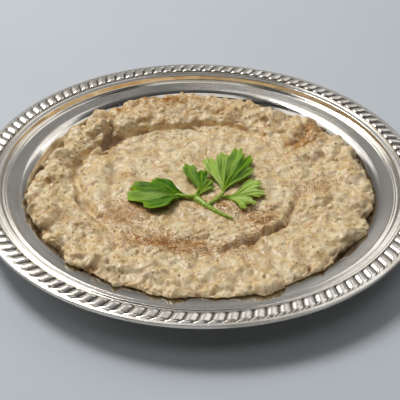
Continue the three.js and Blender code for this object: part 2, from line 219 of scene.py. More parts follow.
class Finish:
    """A material or a room's light in the making: one shader, and the nodes that feed it."""

    def __init__(self, name, constants, kind="materials", shader="Principled BSDF"):
        self.result = getattr(bpy.data, kind).new(name)
        self.result.use_nodes = True
        self.tree = self.result.node_tree
        self.shader = self.tree.nodes[shader]
        for socket, value in constants.items():
            self.feed(self.shader, socket, value)

    def feed(self, node, socket, value):
        if isinstance(value, Signal):
            self.tree.links.new(value.socket, node.inputs[socket])
        else:
            node.inputs[socket].default_value = value

    def node(self, kind, settings, sockets, output=0):
        """Adds a node of a type: its settings first, then the values or links of its sockets."""
        made = self.tree.nodes.new(kind)
        for name, value in settings.items():
            setattr(made, name, value)
        for socket, value in sockets.items():
            self.feed(made, socket, value)
        return Signal(self, made.outputs[output])

    def maths(self, operation, *values):
        return self.node("ShaderNodeMath", {"operation": operation}, dict(enumerate(values)))

    def mix(self, mask, under, over):
        """The colour under where the mask is 0, and the colour over where it is 1."""
        sockets = {0: mask, 6: under, 7: over}
        return self.node("ShaderNodeMix", {"data_type": "RGBA"}, sockets, 2)

    def painted(self, ground, *coats):
        """A ground colour with others laid over it in turn. A coat is its mask and its colour."""
        colour = pigment(*ground)
        for mask, coat in coats:
            colour = self.mix(mask, colour, pigment(*coat))
        return colour

    def surface(self, colour, roughness):
        self.feed(self.shader, "Base Color", colour)
        self.feed(self.shader, "Roughness", roughness)

    def between(self, signal, low, high, at_low=0.0, at_high=1.0, curve="SMOOTHSTEP"):
        """One value where the signal is at or below low, one at or above high, and a rise between."""
        sockets = {"Value": signal, "From Min": low, "From Max": high, "To Min": at_low, "To Max": at_high}
        return self.node("ShaderNodeMapRange", {"interpolation_type": curve}, sockets)

    def axis(self, vector, number):
        """One of a vector's three numbers."""
        return self.node("ShaderNodeSeparateXYZ", {}, {0: vector}, number)

    def place(self, stretch=(1, 1, 1)):
        """Object coordinates in metres, stretched along each axis."""
        here = self.node("ShaderNodeTexCoord", {}, {}, "Object")
        return self.node("ShaderNodeMapping", {}, {"Vector": here, "Scale": stretch})

    def noise(self, place, grain, detail=3.0, distortion=0.0):
        """Smooth noise from 0 to 1 whose blotches are about grain millimetres wide."""
        sockets = {"Vector": place, "Scale": 1 / (grain * MM), "Detail": detail, "Distortion": distortion}
        return self.node("ShaderNodeTexNoise", {}, sockets, 0)

    def blotches(self, place, grain, low, high, detail=3.0, distortion=0.0):
        """1 inside blotches, 0 between them, and a soft edge where the noise runs from low to high."""
        return self.between(self.noise(place, grain, detail, distortion), low, high)

    def polar(self, along):
        """Coordinates in metres for the marks that a lathe leaves: out from the axis, and round it, times
        a share that draws the marks out."""
        here = self.place()
        x = self.axis(here, 0)
        y = self.axis(here, 1)
        out = self.maths("SQRT", x * x + y * y)
        turn = self.maths("ARCTAN2", y, x) * (RIM_RADIUS * MM * along)
        return self.node("ShaderNodeCombineXYZ", {}, {0: out, 1: turn, 2: 0.0})

    def mark(self, name):
        """A number stored on the piece's points."""
        return self.node("ShaderNodeAttribute", {"attribute_name": name}, {}, "Fac")

    def bump(self, height, depth):
        """Feeds the shader's normal from a height from 0 to 1 that stands for depth in millimetres."""
        sockets = {"Height": height, "Distance": depth * MM, "Strength": 1.0}
        self.feed(self.shader, "Normal", self.node("ShaderNodeBump", {}, sockets))


def lathe(profile, columns):
    """Points and faces of a turned solid. Each profile point (radius, height) goes once round the axis,
    and the two ends of the profile, which lie on the axis, are single points."""
    turn = np.arange(columns) / columns * 2 * math.pi
    radius, height = profile[1:-1].T[..., None]
    poles = [[0, 0, profile[0, 1]], [0, 0, profile[-1, 1]]]
    points = np.concatenate([turned(radius, height, turn).reshape(-1, 3), poles])
    return points, capped_rings(len(radius), columns)


def plated_silver(name, wear, polish, brushed):
    """Silver plate: bright where it is rubbed, warmer and duller where it isn't, with the lathe's rings
    and fine scuffs. The polish is the roughness where it is rubbed, and brushed is how much further the
    rings spread a reflection in and out than round. Where a mark on the piece is set, shade is painted
    into the silver as a deep brown."""
    finish = Finish(name, {"Metallic": 1.0, "Anisotropic": brushed})
    rings = finish.noise(finish.polar(0.02), 0.5, 4.0)
    broad_rings = finish.noise(finish.polar(0.03), 2.6, 2.0)
    scuffs = finish.noise(finish.place(), 1.1, 5.0, 0.6)
    clouds = finish.noise(finish.place(), 23.0)
    dull = finish.between(clouds * 0.6 + scuffs * 0.4, 0.38, 0.72) * wear
    # The mark paints shade into the colour: the silver goes to the deep brown where it is set.
    colour = finish.painted(SILVER, (dull, TARNISH), (finish.mark("painted_shade"), SHADE_BROWN))
    finish.surface(colour, polish + 0.12 * dull + 0.06 * rings)
    finish.bump(rings * 0.45 + broad_rings * 0.4 + scuffs * 0.15, 0.06)
    return finish.result


top_side = rounded([
    (0.0, SHEET, 0),
    (WALL_FOOT, SHEET, FLOOR_CORNER),
    (*LIP, LIP_ROUND),
    (*FLANGE_END, 0.5),
    (FLANGE_END[0] + 0.5, FLANGE_END[1] + BEAD_HEIGHT, 0.25),
    (FLANGE_END[0] + 1.1, FLANGE_END[1] + BEAD_HEIGHT, 0.25),
    (FLANGE_END[0] + 1.6, FLANGE_END[1] + 0.12, 0),
])
outer_side = rounded([
    (FLANGE_END[0] + 1.7, FLANGE_END[1] + 0.1, 0),
    (*COVE_FOOT, 0.8),
    (*COVE_HEAD, 0.5),
    (FILLETS[0], FILLET_TOP, 0.6),
    (FILLETS[1], FILLET_GROOVE, 0.12),
    (FILLETS[1] + 0.35, FILLET_TOP, 0.4),
    (SEAT_INNER - 0.3, FILLET_TOP, 0.4),
    (SEAT_INNER, SEAT_HEIGHT, 0.1),
    (RIM_RADIUS - SHEET, SEAT_HEIGHT, 0.1),
    (RIM_RADIUS - SHEET, SEAT_HEIGHT - SHEET, 0.1),
    (COVE_HEAD[0] + 1.5, SEAT_HEIGHT - SHEET, 1.0),
    (COVE_FOOT[0] + 0.8, COVE_FOOT[1] - SHEET, 0.8),
    (FLANGE_END[0], FLANGE_END[1] - SHEET, 1.0),
    (LIP[0] + 0.7, LIP[1] - 0.87, LIP_ROUND - SHEET),
    (WALL_FOOT + 0.62, 0.0, FLOOR_CORNER + SHEET),
    (0.0, 0.0, 0),
])
tray_profile = supported(np.concatenate([top_side, outer_side]))
tray_points, tray_faces = lathe(tray_profile, TRAY_COLUMNS)
tray = new_piece("spun_tray", tray_points, tray_faces, plated_silver("silver_plate", 0.55, 0.08, 0.5))
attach(tray, "root")
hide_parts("tray")


# ---- the gadroon border ----
# A strip of thin plated sheet, stamped into a row of slanted rounded lobes and pressed onto the rim. A
# flat bright edge runs outside the lobes, and the hollows between them are painted a darker, warmer
# tone as shade.

LOBES = 116
COLUMNS_PER_LOBE = 16
BORDER_INNER = 117.4
LOBE_OUTER = 125.2
BORDER_SIDE = 2.0
BORDER_UNDER = SEAT_HEIGHT + 0.3
LOBE_RISE = 1.1
VALLEY_DEPTH = 0.5
LOBE_SLANT = 1.3
LOBE_TURN = -0.65
HOOK_TURN = 1.25
HOOK_SHARE = 0.3
LOBE_ROWS = 22


def lobe_form(across, azimuth):
    """Height of the lobes above their valleys, as a share of the rise, and how much shade is painted at
    the place, most where the lobe is low. The place across the lobe runs from one valley to the next;
    the valleys slant, and curl into a hook at their outer end. The back is round, steeper on the hooked
    side, and its outer end is a round nose."""
    hook = HOOK_TURN * np.clip(1 - across / HOOK_SHARE, 0, 1) ** 2
    valley = LOBE_TURN + LOBE_SLANT * across - hook
    place = np.mod((azimuth - valley) * LOBES / 360, 1.0)
    back = np.sin(math.pi * place ** 0.85)
    round_back = np.clip(back, 0, 1) ** 0.65
    nose = np.sqrt(np.clip(1 - np.clip(1 - across / 0.2, 0, 1) ** 2, 0, 1))
    tail = np.sqrt(np.clip(1 - np.clip((across - 0.72) / 0.3, 0, 1) ** 2, 0, 1))
    leaf = 0.35 * np.exp(-((place - 0.5) / 0.16) ** 2) * np.clip((across - 0.7) / 0.1, 0, 1) * (1 - tail)
    height = round_back * nose * tail + leaf
    return height, np.clip(1.6 - height * 2.4, 0, 1)


lobe_azimuth = np.arange(LOBES * COLUMNS_PER_LOBE) / (LOBES * COLUMNS_PER_LOBE) * 360
lobe_across = np.linspace(0, 1, LOBE_ROWS)
across_grid, azimuth_grid = np.meshgrid(lobe_across, lobe_azimuth, indexing="ij")
lobe_height, lobe_shade = lobe_form(across_grid, azimuth_grid)
edge_rows = rounded([
    (RIM_RADIUS - SHEET + 0.3, TRAY_HEIGHT - BORDER_SIDE, 0),
    (RIM_RADIUS, TRAY_HEIGHT - BORDER_SIDE, 0.12),
    (RIM_RADIUS, TRAY_HEIGHT, 0.4),
    (LOBE_OUTER + 0.2, TRAY_HEIGHT, 0),
])
back_rows = np.array([
    (BORDER_INNER, TRAY_HEIGHT - VALLEY_DEPTH - 0.15),
    (BORDER_INNER, BORDER_UNDER),
    (RIM_RADIUS - SHEET + 0.3, BORDER_UNDER),
])
lobe_radius = LOBE_OUTER + (BORDER_INNER + 0.15 - LOBE_OUTER) * lobe_across


def whole_turn(column):
    """A number for each row, the same all the way round."""
    return np.tile(column[:, None], len(lobe_azimuth))


lobe_base = TRAY_HEIGHT - VALLEY_DEPTH * np.clip(across_grid / 0.06, 0, 1)
border_radius = whole_turn(np.concatenate([edge_rows[:, 0], lobe_radius, back_rows[:, 0]]))
border_height = np.concatenate([
    whole_turn(edge_rows[:, 1]),
    lobe_base + LOBE_RISE * lobe_height,
    whole_turn(back_rows[:, 1]),
])
border_points = turned(border_radius, border_height, np.radians(lobe_azimuth)).reshape(-1, 3)
border_faces = grid_faces(len(border_radius), len(lobe_azimuth), closed_rows=True, closed_columns=True)
# Painted shade: the lobes' valleys are marked so that the silver is painted deep brown there.
border_shade = np.zeros_like(border_radius)
border_shade[len(edge_rows):len(edge_rows) + LOBE_ROWS] = lobe_shade * np.clip(across_grid / 0.08, 0, 1)
stamped_silver = plated_silver("stamped_silver", 0.9, 0.2, 0.0)
border = new_piece("stamped_gadroon_border", border_points, [border_faces], stamped_silver)
mark(border, "painted_shade", border_shade)
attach(border, "root")
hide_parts("gadroon_border")


# ---- the aubergine dip ----
# Roasted aubergine mashed by hand with sesame paste: a moist coarse mash, spread with the back of a
# spoon into a swirled disc, a groove round it and a higher ragged ring that leans on the tray's wall.

DISC_HEIGHT = 14.5
DISC_DOME = 0.5
GROOVE_RADIUS = 59.5
GROOVE_WAVES = [(7.6, 170), (3.0, 38), (0.9, 148), (2.3, 263)]
GROOVE_DEPTH = 1.3
GROOVE_WIDTH = 3.0
GROOVE_FADE = (0.8, 25, 0.5)
TROUGH = (1.5, 186, 0.42)
TROUGH_WIDTH = 4.5
STEP_BASE = 1.0
STEP_SWELLS = [(1.2, 125, 0.75), (-1.7, 305, 0.6)]
CREST_HEIGHT = 17.6
CREST_TILT = 0.7
CREST_HIGH_SIDE = 110
FAR_CREST = (2.2, 114, 0.55)
FAR_RISE = (0.35, 108, 0.55)
SHOULDER = 9.0
SHOULDER_SWELL = (1.5, 95, 0.9)
FACE_FULLNESS = 0.75
EDGE_RADIUS = 97.1
EDGE_WAVES = [(4.96, 282), (0.82, 147), (0.8, 354), (0.98, 68), (0.16, 57), (0.51, 96), (0.87, 251)]
STROKE_PITCH = 17.0
STROKE_DEPTH = 0.45
HALF_GRID = 144
FOOD_GAP = 0.3


def swell(angle, one):
    """A bulge round the ring: its size, times a bell in the angle from its centre."""
    size, centre, width = one
    return size * np.exp((np.cos(angle - math.radians(centre)) - 1) / width ** 2)


def smooth_rise(value, low, high):
    """0 below low, 1 above high, and the curve 3t2 - 2t3 between."""
    t = np.clip((value - low) / (high - low), 0, 1)
    return t * t * (3 - 2 * t)


def waved(radius, waves, angle):
    """A circle's radius plus a wave of one, two, three and more whole turns round it."""
    shifts = [size * np.cos(k * angle - math.radians(phase)) for k, (size, phase) in enumerate(waves, 1)]
    return radius + sum(shifts)


def groove_radius(angle):
    """The radius of the groove between the disc and the ring."""
    return waved(GROOVE_RADIUS, GROOVE_WAVES, angle)


def edge_radius(angle):
    """The radius at which the dip meets the tray."""
    return waved(EDGE_RADIUS, EDGE_WAVES, angle)


def crest_radius(angle):
    """The top of the ring: a shoulder's width inside the edge."""
    return edge_radius(angle) - SHOULDER - swell(angle, SHOULDER_SWELL)


def disc_height(radius, angle):
    """A low dome, plus the ridges of a spiral stroke that fades out towards the middle."""
    across = radius / groove_radius(angle)
    turns = radius / STROKE_PITCH - angle / (2 * math.pi)
    stroke = STROKE_DEPTH * np.cos(2 * math.pi * turns) * smooth_rise(across, 0.2, 0.6)
    return DISC_HEIGHT + DISC_DOME * (1 - across ** 2) + stroke


def food_height(radius, angle):
    """The disc inside the groove and the ring outside it, joined across the groove's width, less the
    groove's own cut and the broad trough at the left. The ring rises to its top over its whole inner
    half, or over less of it at the far side."""
    groove = groove_radius(angle)
    crest = crest_radius(angle)
    step = STEP_BASE + sum(swell(angle, one) for one in STEP_SWELLS)
    start = disc_height(groove, angle) + step
    tilt = CREST_TILT * np.cos(angle - math.radians(CREST_HIGH_SIDE))
    crest_top = CREST_HEIGHT + tilt + swell(angle, FAR_CREST)
    rise = (crest - groove) * (1 - swell(angle, FAR_RISE))
    ring = start + (crest_top - start) * smooth_rise((radius - groove) / rise, 0, 1)
    from_groove = (radius - groove) / GROOVE_WIDTH
    cut = GROOVE_DEPTH * (1 - swell(angle, GROOVE_FADE)) * np.exp(-from_groove ** 2)
    trough = swell(angle, TROUGH) * np.exp(-((radius - groove - 1) / TROUGH_WIDTH) ** 2)
    disc = disc_height(radius, angle)
    return disc + (ring - disc) * smooth_rise(from_groove, 0, 1) - cut - trough


def tray_surface(radius):
    """Height of the tray's upper side at a radius, read off its profile."""
    return np.interp(radius, top_side[:, 0], top_side[:, 1])


# Painted shade on the silver close to where the dip ends: a brown film that stands mostly for the
# shade there and the shaded side of the food that the silver mirrors, and partly for oil.
tray_radius = np.hypot(*tray_points[:, :2].T)
tray_angle = np.arctan2(tray_points[:, 1], tray_points[:, 0])
mark(tray, "painted_shade", 0.6 * np.exp(-((tray_radius - edge_radius(tray_angle) - 0.5) / 3.5) ** 2))


def cell_number(cell, seed):
    """A repeatable number from 0 to 1 for each whole-number cell: its three places times large primes,
    mixed by shifts."""
    x, y, z = (cell[..., i].astype(np.int64) for i in range(3))
    mixed = (x * 73856093) ^ (y * 19349663) ^ (z * 83492791) ^ (seed * 2654435761)
    mixed = (mixed ^ (mixed >> 13)) * 1274126177
    mixed = (mixed ^ (mixed >> 15)) * 668265263
    return ((mixed ^ (mixed >> 16)) & 0xFFFFF) / 0xFFFFF


def soft_noise(points, size, seed):
    """Smooth noise from -1 to 1: a number at each corner of cubes of this size, blended between."""
    scaled = points / size
    corner = np.floor(scaled)
    part = scaled - corner
    part = part * part * (3 - 2 * part)
    total = np.zeros(points.shape[:-1])
    for offset in np.ndindex(2, 2, 2):
        step = np.array(offset)
        weight = np.prod(np.where(step, part, 1 - part), axis=-1)
        total += weight * cell_number(corner + step, seed)
    return total * 2 - 1


def soft_lumps(points, size, seed, share):
    """Soft lumps bedded in a paste, from 0 to 1: a share of the cubes of this size hold one, each of its
    own width and place, and the tallest shows. Also a number that is the same all over each lump."""
    scaled = points / size
    cell = np.floor(scaled)
    height = np.zeros(points.shape[:-1])
    owner = np.full(points.shape[:-1], 0.5)
    for offset in np.ndindex(3, 3, 3):
        here = cell + np.array(offset) - 1
        jitter = np.stack([cell_number(here, seed + k) for k in range(3)], -1)
        away = np.linalg.norm(here + jitter - scaled, axis=-1)
        reach = 0.4 + 0.5 * cell_number(here, seed + 3)
        present = cell_number(here, seed + 4) < share
        dome = np.clip(1 - (away / reach) ** 2, 0, 1) * present * reach / 0.9
        owner = np.where(dome > height, cell_number(here, seed + 5), owner)
        height = np.maximum(height, dome)
    return height, owner


def spot(points, x, y, length, width, turn=0.0):
    """A bell round the place x, y: this long and wide, with its length turned by an angle in degrees."""
    angle = math.radians(turn)
    dx = points[..., 0] - x
    dy = points[..., 1] - y
    along = dx * math.cos(angle) + dy * math.sin(angle)
    aside = dy * math.cos(angle) - dx * math.sin(angle)
    return np.exp(-(along / length) ** 2 - (aside / width) ** 2)


def spots(points, bells):
    """The sum of several bells, each given as its size and then as the bell's own numbers."""
    return sum(size * spot(points, *bell) for size, *bell in bells)


# The grid is a square that is drawn round: its rings of squares become circles, and the circles are
# then drawn to the groove, the crest and the edge.
steps = np.linspace(-1, 1, 2 * HALF_GRID + 1)
side_a, side_b = np.meshgrid(steps, steps, indexing="ij")
wide = np.abs(side_a) >= np.abs(side_b)
outer = np.where(wide, side_a, side_b)
inner = np.where(wide, side_b, side_a)
ratio = np.divide(inner, outer, out=np.zeros_like(inner), where=outer != 0)
share_out = np.abs(outer)
food_angle = np.where(wide, ratio * math.pi / 4, math.pi / 2 - ratio * math.pi / 4)
food_angle += np.where(outer < 0, math.pi, 0)

groove_grid = groove_radius(food_angle)
crest_grid = crest_radius(food_angle)
edge_place = turned(EDGE_RADIUS, 0, food_angle)
edge_waver = 0.9 * soft_noise(edge_place, 8.0, 7) + 0.5 * soft_noise(edge_place, 3.5, 8)
edge_grid = edge_radius(food_angle) - 1.5 * FOOD_GAP + edge_waver
ring_shares = [0, 0.53, 0.57, 0.61, 0.855]
ring_radii = [0, groove_grid - GROOVE_WIDTH, groove_grid, groove_grid + GROOVE_WIDTH, crest_grid]
food_radius = np.zeros_like(share_out)
for k in range(1, len(ring_shares)):
    part = np.clip((share_out - ring_shares[k - 1]) / (ring_shares[k] - ring_shares[k - 1]), 0, 1)
    food_radius += part * (ring_radii[k] - ring_radii[k - 1])
fall = np.clip((share_out - ring_shares[-1]) / (1 - ring_shares[-1]), 0, 1) * math.pi / 2
food_radius += (edge_grid - crest_grid) * np.sin(fall) ** FACE_FULLNESS
on_face = np.clip(np.cos(fall), 0, 1) ** FACE_FULLNESS
foot_height = tray_surface(edge_grid) + FOOD_GAP + 0.3
flat_place = turned(food_radius, 0, food_angle)
waver = (1.6 * soft_noise(flat_place, 9.0, 5) + 0.9 * soft_noise(flat_place, 4.0, 6)) * on_face
wavered = food_radius + waver * smooth_rise(food_radius, 5, 25)
food_z = foot_height + (food_height(wavered, food_angle) - foot_height) * on_face
base = np.stack([flat_place[..., 0], flat_place[..., 1], food_z], -1)


def grid_normals(points, least_up=-1.0):
    """Unit normals of a grid of points: the cross product of the steps along its two directions, turned
    up to a least upward share."""
    normal = np.cross(np.gradient(points, axis=0), np.gradient(points, axis=1))
    normal /= np.maximum(np.linalg.norm(normal, axis=-1, keepdims=True), 1e-9)
    normal[..., 2] = np.maximum(normal[..., 2], least_up)
    return unit(normal)


# Where the mash is coarser: the ring more than the disc, most of all its outer face, its torn far left
# and its far right.
torn_left = spot(base, -62, 48, 26, 13, 130)
chunky_right = spot(base, 62, 42, 15, 21, 40)
on_ring = smooth_rise(food_radius - groove_grid, -2, 12)
outer_face = smooth_rise(share_out, 0.8, 0.93)
rugged = 0.85 + 0.25 * on_ring + 0.4 * outer_face + 0.6 * torn_left + 0.5 * chunky_right

# Noise places are stretched along the spoon's stroke, so that fibres lie round the dish.
stroke_place = np.stack([food_radius, food_angle * food_radius * 0.2, food_z], -1)
bends = [2.2 * soft_noise(base, 6.0, seed) + soft_noise(base, 2.6, seed + 2) for seed in (31, 32)]
warped = base + np.stack([*bends, 0 * food_z], -1)
undulation = soft_noise(base, 17.0, 11) + 0.7 * soft_noise(base, 8.0, 12)
paste = soft_noise(warped, 5.0, 13) + 0.6 * soft_noise(warped, 2.6, 14)
chunks, chunk_owner = soft_lumps(warped, 9.5, 21, 0.55)
lumps, lump_owner = soft_lumps(warped, 4.8, 41, 0.7)
crumbs, crumb_owner = soft_lumps(warped, 2.7, 51, 0.6)
strokes = soft_noise(stroke_place, 3.4, 61) + 0.5 * soft_noise(stroke_place, 1.6, 62)
folded = smooth_rise(soft_noise(base, 11.0, 16), -0.2, 0.3)
folds = np.exp(-(soft_noise(warped, 6.5, 15) / 0.08) ** 2) * folded
pits = smooth_rise(soft_noise(base, 3.8, 71) * 0.7 + soft_noise(base, 2.0, 72) * 0.5, 0.48, 0.72)
relief = (
    0.55 * undulation
    + 0.15 * outer_face
    + 2.8 * (chunks - 0.3) * (0.25 + 0.8 * on_ring)
    + 1.2 * (lumps - 0.35)
    + 0.35 * (crumbs - 0.3)
    + 0.35 * paste
    + 0.3 * strokes
    - 0.5 * folds
    - 0.9 * pits
) * rugged

# Marks that the spoon left: a second stroke at the left, the crack in front of the disc, the notch at
# the near left with its slab, the torn edge at the far left with a hollow under it, and gaps at the
# right edge. Humps and dents are bells: a height or depth, then a place, length, width and turn.
HUMPS = [
    (1.3, -59, 4, 25, 4.5, 95), (0.8, -22, 80, 15, 5, 5), (0.8, 24, 72, 7, 5), (1.2, -59, 70, 7, 5),
    (1.3, 90, -46, 3.5, 3.0), (1.0, -85, -6, 5, 3.5), (1.0, -84, 16, 9, 5, 100),
]
DENTS = [
    (1.5, -50.5, 4, 20, 2.0, 92), (6.5, -55, -81.5, 5.0, 3.0, 20), (2.2, -58, 28.5, 3.6, 2.4, 30),
    (1.8, -29, 68, 3.0, 1.8), (1.6, 51, 40, 4, 2.5), (1.2, 91, -34, 5, 3), (1.0, 70, 57, 3, 3),
    (1.8, 47.5, -22, 4.5, 1.5, 137),
]
LEAF_BEDS = [(1, -22, -19, 20, 9), (1, -2, -6, 9, 12), (1, 18, 5, 10, 22), (1, 28, -19, 12, 7)]
CRACK_RADIUS = 65.5
CRACK_BEND = (9.5, 345, 0.6)
from_groove = food_radius - groove_grid
from_crack = food_radius + waver - CRACK_RADIUS + swell(food_angle, CRACK_BEND)


def groove_line(bulge, outwards, width):
    """A line along the groove: a bulge round the dish, times a bell across the line, which runs this far
    outside the groove."""
    return swell(food_angle, bulge) * np.exp(-((from_groove - outwards + waver) / width) ** 2)


crack_line = np.exp(-(from_crack / 1.2) ** 2) * (0.75 + 0.5 * soft_noise(base, 5.0, 74))
crack = swell(food_angle, (3.9, 314, 0.42)) * crack_line
up_to_crack = smooth_rise(from_groove, -4, 0) * (1 - smooth_rise(from_crack, -1.6, 0.0))
before_crack = swell(food_angle, (2.4, 314, 0.42)) * up_to_crack
slab = 2.3 * smooth_rise(spot(base, -38, -76, 17, 9, -8), 0.3, 0.45) * (1 - spot(base, -55, -82, 6, 5))
past_tear = base[..., 0] + 59.5 - 0.25 * (base[..., 1] - 36) + 1.5 * soft_noise(base, 5.0, 73)
tear = spot(base, -58, 42, 24, 9, 95) * (2.1 - 4.4 * smooth_rise(past_tear, -1.0, 1.0))
relief += slab + tear + before_crack + spots(base, HUMPS) + groove_line((0.9, 112, 0.6), -2.6, 1.5)
relief -= crack + spots(base, DENTS) + groove_line((1.6, 112, 0.6), 0.4, 1.1)
relief -= groove_line((1.3, 188, 0.5), 1.0, 2.2)

# The mash is pressed flatter where the leaves lie on it.
relief -= 0.6 * smooth_rise(spots(base, LEAF_BEDS), 0.3, 0.8) * np.maximum(relief, 0)

food_points = base + grid_normals(base, 0.35) * relief[..., None]
flat_radius = np.hypot(food_points[..., 0], food_points[..., 1])
food_points[..., 2] = np.maximum(food_points[..., 2], tray_surface(flat_radius) + FOOD_GAP)


def round_the_sides(numbers):
    """The numbers along the four sides of a grid, once round."""
    return np.concatenate([numbers[:-1, 0], numbers[-1, :-1], numbers[:0:-1, -1], numbers[0, :0:-1]])


def strip(upper, lower):
    """Four-sided faces between two closed rows of point numbers."""
    return np.stack([upper, lower, np.roll(lower, -1), np.roll(upper, -1)], -1)


# The underside lies on the tray: rings from the edge in to the middle, none wider than its limit.
UNDER_LIMITS = (101.5, 99.0, 96.5, 94.0, 86.0, 50.0)
UNDER_GAP = 0.15
edge_loop = round_the_sides(np.arange(share_out.size).reshape(share_out.shape))
top_points = food_points.reshape(-1, 3)
loop_angle = food_angle.ravel()[edge_loop]
loop_radius = np.hypot(*top_points[edge_loop, :2].T)
under_rings = []
loops = [edge_loop]
for k, limit in enumerate(UNDER_LIMITS):
    radius = np.minimum(loop_radius - 0.2 * (102 - limit), limit)
    under_rings.append(turned(radius, tray_surface(radius) + UNDER_GAP, loop_angle))
    loops.append(share_out.size + k * len(edge_loop) + np.arange(len(edge_loop)))
all_food_points = np.concatenate([top_points, *under_rings, [[0, 0, SHEET + UNDER_GAP]]])
under_faces = [strip(upper, lower) for upper, lower in zip(loops, loops[1:])]
middle = np.full(len(edge_loop), len(all_food_points) - 1)
under_middle = np.stack([loops[-1], middle, np.roll(loops[-1], -1)], -1)
food_faces = [grid_faces(*share_out.shape), np.concatenate(under_faces), under_middle]

# Where spice and oil have soaked in, and where the mash is browner, as bells again.
SPICED = [
    (1.2, -39, -31, 9, 12, 110), (1.2, -12, -60, 22, 6, -6), (0.6, 33, -35, 9, 8),
    (0.6, 28, -53, 11, 5, 40), (0.7, 8, -24, 18, 6), (0.35, 6, 18, 22, 6, 5),
    (0.9, -41, 3, 6, 2.8), (0.4, 66, -6, 12, 7), (0.3, -30, -48, 14, 8, -30),
]
TOASTED = [
    (1.8, -20, 80, 17, 5, 10), (0.8, -50, 70, 5, 4), (0.7, 25, -58.5, 5, 2.2, 25),
    (1.0, -84, -8, 4, 2.6), (1.5, 61, 38, 10, 6, 30), (1.3, 68, 52, 9, 7, 30), (0.5, 50, 27, 6, 3),
]
toasted_loop = 0.9 * spot(base, -77, -38, 7, 5, 10) * (1 - 0.9 * spot(base, -77, -38, 3.2, 2.4, 10))
toasted = spots(base, TOASTED) + toasted_loop + on_ring * swell(food_angle, (0.3, 100, 0.5))
patchy = 0.5 + 0.5 * soft_noise(base, 2.6, 81)
spice_mark = np.clip(spots(base, SPICED) * (0.25 + 1.2 * patchy), 0, 1)
toasted_mark = np.clip(toasted * (0.35 + 1.0 * patchy), 0, 1)
# Painted shade: the deeper the mash lies in its pits, creases and crack, and the less it is on the ring's
# top, the browner its colour is painted.
painted_cavity_shade = smooth_rise(crack - relief * 0.9 - 0.6 * on_ring * (1 - outer_face), 0.7, 2.6)
lump_tone = smooth_rise(0.3 * chunk_owner + 0.4 * lump_owner + 0.3 * crumb_owner, 0.25, 0.75)

CREAM = (254, 233, 186)
STRAW = (242, 208, 142)
TAN = (222, 178, 106)
ROSY = (212, 170, 136)
PALE = (255, 241, 203)
DRAB = (164, 122, 76)
OCHRE = (214, 164, 88)
# The colour of the shade painted into the mash's pits, creases and crack.
CAVITY_SHADE_UMBER = (148, 106, 62)
PAPRIKA = (206, 146, 44)
TOAST = (190, 126, 10)


def mashed_aubergine():
    """Moist mash: cream to tan to pinkish grey in blotches, with shade painted browner into the hollows,
    stained by spice.
    """
    finish = Finish("mashed_aubergine", {
        "Subsurface Weight": 0.08,
        "Subsurface Radius": (1.0, 0.6, 0.35),
        "Subsurface Scale": 0.002,
        "Coat Roughness": 0.2,
    })
    place = finish.place()
    blotch = finish.blotches(place, 4.2, 0.45, 0.65, 4.0, 0.5)
    browned = 0.35 + 0.75 * finish.blotches(place, 2.2, 0.42, 0.58, 4.0)
    colour = finish.painted(
        CREAM,
        (finish.blotches(place, 8.0, 0.38, 0.62), STRAW),
        (blotch * 0.8, TAN),
        (finish.blotches(finish.place((1.2, 1.1, 1)), 5.0, 0.5, 0.62, 4.0) * 0.6, ROSY),
        (finish.mark("owner") * 0.5, PALE),
        (finish.blotches(place, 2.0, 0.56, 0.68, 4.0, 0.4) * 0.5, DRAB),
        (finish.blotches(finish.place((1, 1.2, 1)), 1.3, 0.56, 0.7) * 0.5, OCHRE),
        (finish.mark("cavity_shade") * 0.75, CAVITY_SHADE_UMBER),
        (finish.mark("spice") * finish.blotches(place, 1.4, 0.36, 0.6, 4.0) * 0.7, PAPRIKA),
        (finish.mark("toasted") * browned, TOAST),
    )
    finish.surface(colour, 0.5 - 0.12 * blotch)
    finish.feed(finish.shader, "Coat Weight", 0.25 - 0.1 * finish.mark("toasted"))
    finish.bump(finish.noise(place, 1.7, 2.0), 0.25)
    return finish.result


dip = new_piece("aubergine_dip", all_food_points, food_faces, mashed_aubergine())
for name, values, under in (
    ("cavity_shade", painted_cavity_shade, 0.5),
    ("spice", spice_mark, 0.0),
    ("toasted", toasted_mark, 0.0),
    ("owner", lump_tone, 0.5),
):
    below = np.full(len(all_food_points) - values.size, under)
    mark(dip, name, np.concatenate([values.ravel(), below]))
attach(dip, "root")
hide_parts("baba_ganoush")


# ---- what lies in and on the dip ----
# Flecks of charred skin, grains of ground spice, pale aubergine seeds and soft strands of its flesh.
# Each kind is one joined mesh of small closed bodies, half sunk where they fell.

UPPER_FACE = 0.87
food_normals = grid_normals(food_points)
random = np.random.default_rng(20)


def scattered(name, shape, face_sets, count, weight, bounds, sink, material):
    """One mesh of many like bodies. Their places are points of the dip's upper face, drawn more often
    where the weight is larger, and their half length, width and height are drawn between two bounds
    each. They are turned at random about the surface's normal, laid in the surface's plane, and sunk by
    a share of their height."""
    chance = (weight * (share_out < UPPER_FACE)).ravel()
    places = random.choice(chance.size, size=count, replace=False, p=chance / chance.sum())
    sizes = np.concatenate([random.uniform(low, high, (count, 1, 1)) for low, high in bounds], -1)
    up = food_normals.reshape(-1, 3)[places]
    spin = random.uniform(0, 2 * math.pi, count)
    ahead = turned(1, 0, spin)
    ahead = unit(ahead - up * np.sum(ahead * up, axis=-1, keepdims=True))
    aside = np.cross(up, ahead)
    body = shape[None] * sizes
    body[..., 2] -= sink * sizes[..., 2]
    laid = body @ np.stack([ahead, aside, up], 1)
    points = (laid + top_points[places][:, None]).reshape(-1, 3)
    offsets = (np.arange(count) * len(shape))[:, None, None]
    all_faces = [(faces + offsets).reshape(-1, faces.shape[1]) for faces in face_sets]
    piece = new_piece(name, points, all_faces, material)
    mark(piece, "each", np.repeat(random.uniform(0, 1, count), len(shape)))
    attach(piece, "root")


